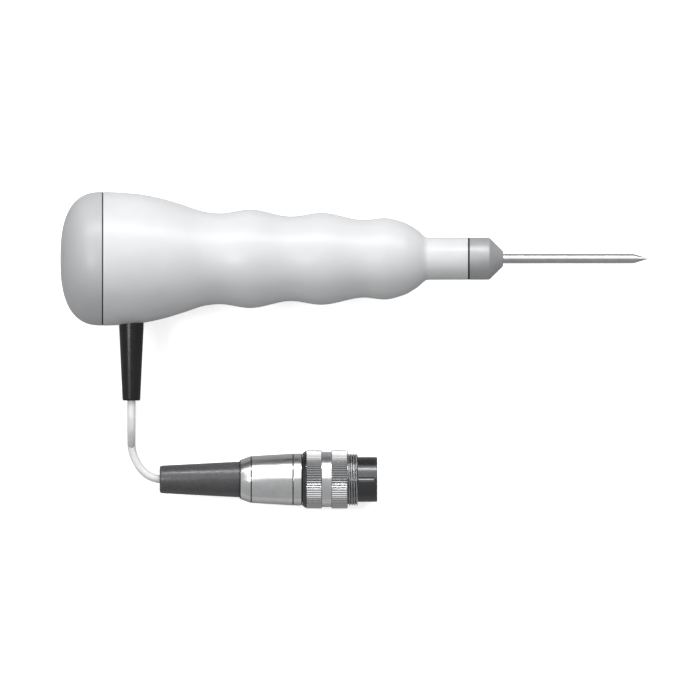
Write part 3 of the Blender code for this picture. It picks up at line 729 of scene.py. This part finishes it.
GRIP_WALL = 2.5
NECK_BORE = 4.1
RELIEF_HOLE = 3.4
CAP_DOME = 2.58                     # the dome's power: 2 is an ellipse, more is squarer
CAP_SPIGOT = 16.4
CAP_BORE = 14.2

# (along, radius) where the grip's outline turns, or changes how it bends.
GRIP_STATIONS = [
    (12.9, 20.45),
    (23.0, 19.9),
    (30.7, 18.5),
    (37.2, 16.6),
    (44.9, 14.25),
    (48.7, 13.9),
    (58.0, 15.1),
    (70.5, 12.95),
    (79.7, 14.1),
    (93.0, 11.9),
    (99.1, 12.5),
    (104.9, 11.2),
    (108.9, 9.0),
    (112.5, 6.45),
]


def grip_profile(step):
    """(along, radius) pairs in metres on a smooth curve that turns only at the stations."""
    slopes = [0.0]
    for before, here, after in zip(GRIP_STATIONS, GRIP_STATIONS[1:], GRIP_STATIONS[2:]):
        fall_in = (here[1] - before[1]) / (here[0] - before[0])
        fall_out = (after[1] - here[1]) / (after[0] - here[0])
        turns = fall_in * fall_out <= 0.0
        slopes.append(0.0 if turns else 2 * fall_in * fall_out / (fall_in + fall_out))
    slopes.append(0.0)
    profile = []
    for index in range(len(GRIP_STATIONS) - 1):
        (x0, r0), (x1, r1) = GRIP_STATIONS[index], GRIP_STATIONS[index + 1]
        reach = x1 - x0
        count = max(2, round(reach / step))
        for piece in range(count):
            t = piece / count
            leaving = (t - 2 * t ** 2 + t ** 3) * reach * slopes[index]
            arriving = (t ** 3 - t ** 2) * reach * slopes[index + 1]
            radius = r0 + (r1 - r0) * eased(t) + leaving + arriving
            profile.append(((x0 + reach * t) * MM, radius * MM))
    profile.append((GRIP_STATIONS[-1][0] * MM, GRIP_STATIONS[-1][1] * MM))
    return profile


def make_grip():
    """The finger-grip shell, hollow, with the hole that the strain relief sits in."""
    start, _, radius = span("handle_grip")
    end, _, neck = span("neck_seal")
    inner = radius - GRIP_WALL
    outer = grip_profile(0.7)
    rim = rounded([(start, inner, 0.1), (start, radius, 0.25), (start + 1.2, radius, 0.0)],
                  closed=False)
    front = rounded([(112.6, neck, 0.0), (end, neck, 0.1), (end, NECK_BORE, 0.1),
                     (103.0, NECK_BORE, 0.1), (103.0, 9.0, 0.3), (93.0, 9.0, 0.3),
                     (70.0, 10.0, 1.0), (48.0, 10.6, 1.0), (37.2, 14.0, 1.0),
                     (23.0, 17.3, 1.0), (start + 0.1, inner, 0.0)], closed=False)
    outline = rim + [pair for pair in outer if pair[0] > (start + 1.3) * MM] + front
    grip = revolve("grip_shell", outline, GRIP_GREY, HANDLE_AXIS, FINE)
    drill = rounded([(10.0, 0.0, 0.0), (10.0, RELIEF_HOLE, 0.0),
                     (25.0, RELIEF_HOLE, 0.0), (25.0, 0.0, 0.0)], closed=False)
    hole = revolve("relief_hole", drill, GRIP_GREY, RELIEF_AXIS, 48, closed=False,
                   direction=SIDEWAYS)
    carve(grip, hole)
    finished(grip, "grip_plastic", "handle_grip")


def make_cap():
    """The domed end cap with its rounded rim and the spigot that enters the grip."""
    _, end, radius = span("end_cap")
    rim = span("handle_grip")[0] - JOINT_GAP
    steps = 40
    dome = []
    for step in range(steps):
        angle = math.pi / 2 * step / steps
        across = radius * math.sin(angle) ** (2 / CAP_DOME)
        along = (rim + 0.15) * (1 - math.cos(angle) ** (2 / CAP_DOME))
        dome.append((along * MM, across * MM))
    skirt = rounded([(rim - 0.35, radius, 0.0), (rim, radius, 0.25), (rim, CAP_SPIGOT, 0.1),
                     (end, CAP_SPIGOT, 0.3), (end, CAP_BORE, 0.3), (8.0, CAP_BORE, 3.0),
                     (3.0, 9.0, 3.0), (2.5, 0.0, 0.0)], closed=False)
    outline = [pair for pair in dome if pair[0] < (rim - 0.4) * MM] + skirt
    cap = revolve("cap_dome", outline, CAP_GREY, HANDLE_AXIS, FINE, closed=False)
    finished(cap, "cap_plastic", "end_cap")
    # Painted shade: a dark ring in the joint between the cap and the grip.
    cap_joint_shade = joint("cap_joint", rim, rim + JOINT_GAP, radius, HANDLE_AXIS)
    finished(cap_joint_shade, "black_rubber", "end_cap")


def make_ferrule():
    """The seal in the neck's joint, and the ferrule with its chamfer and its stepped bore."""
    start, front, _ = span("ferrule")
    seal_start, shoulder, neck = span("neck_seal")
    seal = turned_ring("neck_gasket", seal_start, shoulder, NECK_BORE, neck - 0.08,
                       SEAL_AND_JOINT_SHADE, HANDLE_AXIS)
    finished(seal, "black_rubber", "neck_seal")
    outline = rounded([(start, 3.8, 0.2), (shoulder, 3.8, 0.1), (shoulder, neck, 0.1),
                       (front - 4.2, neck, 0.35), (front, 2.3, 0.25), (front, 1.55, 0.1),
                       (front - 2.0, 1.55, 0.1), (front - 2.0, 1.8, 0.1),
                       (front - 11.4, 1.8, 0.1), (front - 11.4, 2.9, 0.1),
                       (start, 2.9, 0.2)])
    ferrule = revolve("ferrule_body", outline, FERRULE_METAL, HANDLE_AXIS)
    finished(ferrule, "ferrule_metal", "ferrule")


def make_shaft():
    """The steel tube and its ground point, closed at the tip and open inside the ferrule."""
    start, _, radius = span("probe_shaft")
    tip = span("shaft_tip")[1]
    cone = tip - 4.9
    bore = 0.9
    outline = rounded([(tip, 0.0, 0.0), (tip - 0.25, 0.07, 0.15), (cone, radius, 0.5),
                       (start, radius, 0.15), (start, bore, 0.1),
                       (cone - 1.5, bore, 0.3), (cone - 1.2, 0.0, 0.0)], closed=False)
    shaft = revolve("needle", outline, SHAFT_STEEL, HANDLE_AXIS, SMALL, closed=False)
    finished(shaft, "shaft_steel", "probe_shaft", "shaft_tip")


def make_relief():
    """The tapered sleeve, drawn into its hole with a thin flange that meets the grip."""
    reach = -RELIEF_END / MM
    outline = rounded([(14.6, 1.55, 0.1), (14.6, 4.3, 0.3), (16.1, 4.3, 0.3),
                       (16.1, 3.2, 0.1), (19.4, 3.2, 0.0), (19.4, 3.775, 0.0),
                       (21.0, 3.75, 1.0), (reach, 2.72, 0.45), (reach, 1.32, 0.1),
                       (reach - 1.0, 1.55, 0.1)])
    relief = revolve("relief_sleeve", outline, BLACK_RUBBER, RELIEF_AXIS, SLEEVE,
                     direction=SIDEWAYS)
    return finished(relief, "black_rubber", "strain_relief")


# ---- Plug ---------------------------------------------------------------------------------

PLUG_BORE = 7.2                     # inside the lock ring and the coupling ring
CLAMP_BORE = 4.7                    # inside the collar and the back of the backshell


def make_boot():
    """The tapered rubber sleeve that the lead goes into."""
    start, end, radius = span("plug_boot")
    collar = span("clamp_collar")[0]
    outline = rounded([(start, 1.35, 0.1), (start, 4.22, 0.9), (collar - 0.1, radius, 0.15),
                       (collar - 0.1, 4.4, 0.1), (end, 4.4, 0.2), (end, 1.55, 0.1),
                       (start + 1.0, 1.55, 0.1)])
    boot = revolve("boot_sleeve", outline, BOOT_RUBBER, PLUG_AXIS, SLEEVE)
    return finished(boot, "boot_rubber", "plug_boot")


def make_backshell():
    """The plated collar, the tapered backshell, the plain ring in front, and dark rings in their
    joints as painted shade.
    """
    start, end, radius = span("clamp_collar")
    collar = revolve("collar_cone", rounded([
        (start, CLAMP_BORE, 0.1), (start, 6.05, 0.12), (end, radius, 0.1),
        (end, CLAMP_BORE, 0.1)]), SATIN_NICKEL, PLUG_AXIS)
    finished(collar, "satin_nickel", "clamp_collar")
    shell_start, shell_end, shell_radius = span("plug_backshell")
    backshell = revolve("backshell_body", rounded([
        (shell_start, CLAMP_BORE, 0.1), (shell_start, radius, 0.1),
        (shell_end, shell_radius, 0.1), (shell_end, PLUG_BORE, 0.1), (67.5, PLUG_BORE, 0.1),
        (67.5, 6.3, 0.1), (60.2, 6.3, 0.2), (60.2, CLAMP_BORE, 0.1)]),
        SATIN_NICKEL, PLUG_AXIS)
    finished(backshell, "satin_nickel", "plug_backshell")
    ring_start, ring_end, ring_radius = span("lock_ring")
    ring = revolve("plain_ring", rounded([
        (ring_start, PLUG_BORE, 0.05), (ring_start, ring_radius, 0.1),
        (ring_end, ring_radius, 0.1), (ring_end, PLUG_BORE, 0.05)]), SATIN_NICKEL, PLUG_AXIS)
    finished(ring, "satin_nickel", "lock_ring")
    # Painted shade: dark rings in the joints between the plug's pieces.
    joints = joined("plug_joints", [
        joint("boot_joint", start - 0.28, start, 6.0, PLUG_AXIS),
        joint("collar_joint", end, shell_start, radius, PLUG_AXIS),
        joint("shell_joint", shell_end, ring_start, shell_radius, PLUG_AXIS),
        joint("ring_joint", ring_end, ring_end + 0.25, ring_radius, PLUG_AXIS),
    ])
    finished(joints, "black_rubber", "clamp_collar", "plug_backshell", "lock_ring")
    return [collar, backshell, ring, joints]


RING_START, RING_END, RING_RADIUS = span("coupling_ring")
KNURL_TEETH = 72
KNURL_DEPTH = 0.34
KNURL_BANDS = ((75.1, 80.0), (82.85, 87.85))
CONE_END = KNURL_BANDS[0][0]
GROOVE_RADIUS = 8.45
THREAD_PITCH = 0.75
THREAD_DEPTH = 0.58
THREAD_START = 87.9
THREAD_RADIUS = 8.0
THREAD_STUB = 7.4                   # the neck that the thread starts from
THREAD_FLAT = 1.15                  # over 1, the thread's crests are cut flat


def triangle(t):
    """A wave that goes 0, 1, 0 as t goes up by 1."""
    return 1 - abs(2 * (t % 1.0) - 1)


def cut_ring(along, radius, angle):
    """The coupling ring's radius in metres once its knurling and its thread are cut."""
    for low, high in KNURL_BANDS:
        if low * MM < along < high * MM and radius > (RING_RADIUS - 0.3) * MM:
            tooth = triangle(angle * KNURL_TEETH / (2 * math.pi))
            return radius - KNURL_DEPTH * MM * tooth
    if along > THREAD_START * MM and radius > (THREAD_RADIUS - 0.4) * MM:
        turn = along / (THREAD_PITCH * MM) - angle / (2 * math.pi)
        crest = min(1.0, THREAD_FLAT * triangle(turn))
        return radius - THREAD_DEPTH * MM * (1 - crest)
    return radius


def knurled_band(name, low, high):
    """One grip band, its edges broken and straight teeth cut along it."""
    inner = 8.2
    edge = RING_RADIUS - 0.25
    corners = [
        (low, inner, 0.0), (low, edge, 0.0), (low + 0.02, edge, 0.0),
        (low + 0.25, RING_RADIUS, 0.0), (high - 0.25, RING_RADIUS, 0.0),
        (high - 0.02, edge, 0.0), (high, edge, 0.0), (high, inner, 0.0),
    ]
    band = revolve(name, rounded(corners), KNURL_NICKEL, PLUG_AXIS, KNURL_TEETH * 6,
                   shaped=cut_ring, sharp=CUT_CREASE)
    return finished(band, "satin_nickel", "coupling_ring", body="coupling_ring")


def make_thread():
    """The ring's front end, eight places to each turn of its thread."""
    corners = [(THREAD_START, PLUG_BORE, 0.0), (THREAD_START, THREAD_STUB, 0.0)]
    length = RING_END - THREAD_START
    count = round(length / THREAD_PITCH * 8)
    for step in range(1, count + 1):
        corners.append((THREAD_START + length * step / count, THREAD_RADIUS, 0.0))
    corners.append((RING_END, PLUG_BORE, 0.1))
    return revolve("ring_thread", rounded(corners), THREAD_NICKEL, PLUG_AXIS, 144,
                   shaped=cut_ring, sharp=CUT_CREASE)


def make_coupling_ring():
    """The turning ring: dark cone, knurled band, smooth groove, knurled band and thread; the
    cone's dark finish is painted shade of its recess.
    """
    groove_end = KNURL_BANDS[1][1]
    body = revolve("ring_body", rounded([
        (CONE_END, PLUG_BORE, 0.0), (CONE_END, GROOVE_RADIUS, 0.1),
        (groove_end, GROOVE_RADIUS, 0.1), (groove_end, THREAD_STUB, 0.0),
        (THREAD_START, THREAD_STUB, 0.0), (THREAD_START, PLUG_BORE, 0.0),
        (78.2, PLUG_BORE, 0.0), (78.2, 8.0, 0.0), (76.8, 8.0, 0.0),
        (76.8, PLUG_BORE, 0.0)]), SATIN_NICKEL, PLUG_AXIS)
    # Painted shade: the cone takes the dark shell finish to stand for the shade in the recess
    # between the lock ring and the knurl.
    cone = revolve("ring_cone", rounded([
        (RING_START, PLUG_BORE, 0.0), (RING_START, 8.0, 0.1),
        (CONE_END, RING_RADIUS - 0.05, 0.1), (CONE_END, PLUG_BORE, 0.0)]),
        SHELL_METAL, PLUG_AXIS)
    thread = make_thread()
    pieces = [knurled_band("knurl_" + str(number), low, high)
              for number, (low, high) in enumerate(KNURL_BANDS, start=1)]
    for piece, slot in ((body, "satin_nickel"), (cone, "shell_metal"),
                        (thread, "satin_nickel")):
        pieces.append(finished(piece, slot, "coupling_ring", body="coupling_ring"))
    return pieces


SHELL_START, SHELL_END, SHELL_RADIUS = span("plug_shell")
SLOT_START = 91.1
SLOT_END = SHELL_END - 0.9
SLOT_HALF = 0.5
SLOT_SLOPE = 0.14                   # how wide each of its sides is, seen from above
SLOT_DEPTH = 0.42


def slot_in_shell(along, radius, angle):
    """The shell's radius in metres with its key slot pressed in along the top."""
    beside_slot = not SLOT_START * MM < along < SLOT_END * MM
    if beside_slot or radius < (SHELL_RADIUS - 0.3) * MM:
        return radius
    off_centre = abs(radius * math.cos(angle)) / MM
    if math.sin(angle) < 0.0 or off_centre > SLOT_HALF:
        return radius
    wall = min(1.0, (SLOT_HALF - off_centre) / SLOT_SLOPE)
    return radius - SLOT_DEPTH * MM * wall


def make_shell():
    """The dark shell round the pins, with its key."""
    inner = SHELL_RADIUS - 0.8
    corners = [(SHELL_START, inner, 0.1), (SHELL_START, SHELL_RADIUS, 0.2),
               (SLOT_START, SHELL_RADIUS, 0.0), (SLOT_START + 0.02, SHELL_RADIUS, 0.0),
               (93.5, SHELL_RADIUS, 0.0), (SLOT_END - 0.02, SHELL_RADIUS, 0.0),
               (SLOT_END, SHELL_RADIUS, 0.0), (SHELL_END, SHELL_RADIUS, 0.25),
               (SHELL_END, inner, 0.15)]
    shell = revolve("key_shell", rounded(corners), SHELL_METAL, PLUG_AXIS, 360,
                    shaped=slot_in_shell, sharp=CUT_CREASE)
    finished(shell, "shell_metal", "plug_shell")
    return [shell, make_key()]


def make_key():
    """The bright key bar along the bottom of the slot."""
    half = 0.22
    low = PLUG_AXIS + Vector((SLOT_START + 0.05, -half, SHELL_RADIUS - 0.5)) * MM
    high = PLUG_AXIS + Vector((SLOT_END - 0.1, half, SHELL_RADIUS - 0.12)) * MM
    corners = [(x, y, z) for x in (low.x, high.x) for y in (low.y, high.y)
               for z in (low.z, high.z)]
    faces = [(0, 1, 3, 2), (4, 6, 7, 5), (0, 4, 5, 1), (2, 3, 7, 6), (0, 2, 6, 4), (1, 5, 7, 3)]
    key = mesh_object("key_bar", corners, faces, SATIN_NICKEL)
    return finished(key, "satin_nickel", "plug_shell")


def make_pins():
    """Round contact pins with domed noses."""
    pins = []
    for number in range(1, 6):
        node = "contact_pin_" + str(number)
        start, end, radius = span(node)
        centre = middle(node)
        outline = rounded([(start, 0.0, 0.0), (start, radius, 0.15), (end, radius, 0.65),
                           (end, 0.0, 0.0)], closed=False, steps=6)
        pin = revolve("pin_" + str(number), outline, PIN_GOLD,
                      Vector((BACK, centre.y, centre.z)), SMALL, closed=False)
        pins.append(finished(pin, "pin_gold", node))
    return pins


# ---- The picture --------------------------------------------------------------------------

def main():
    make_camera()
    make_floor()
    make_world()
    make_lights()
    bpy.context.scene.view_settings.view_transform = "Standard"
    dress_cad_nodes()
    make_grip()
    make_cap()
    make_ferrule()
    make_shaft()
    on_lead = [make_relief(), make_boot(), *make_backshell(), *make_coupling_ring(),
               *make_shell(), *make_pins(), make_tie()]
    make_lead()


main()
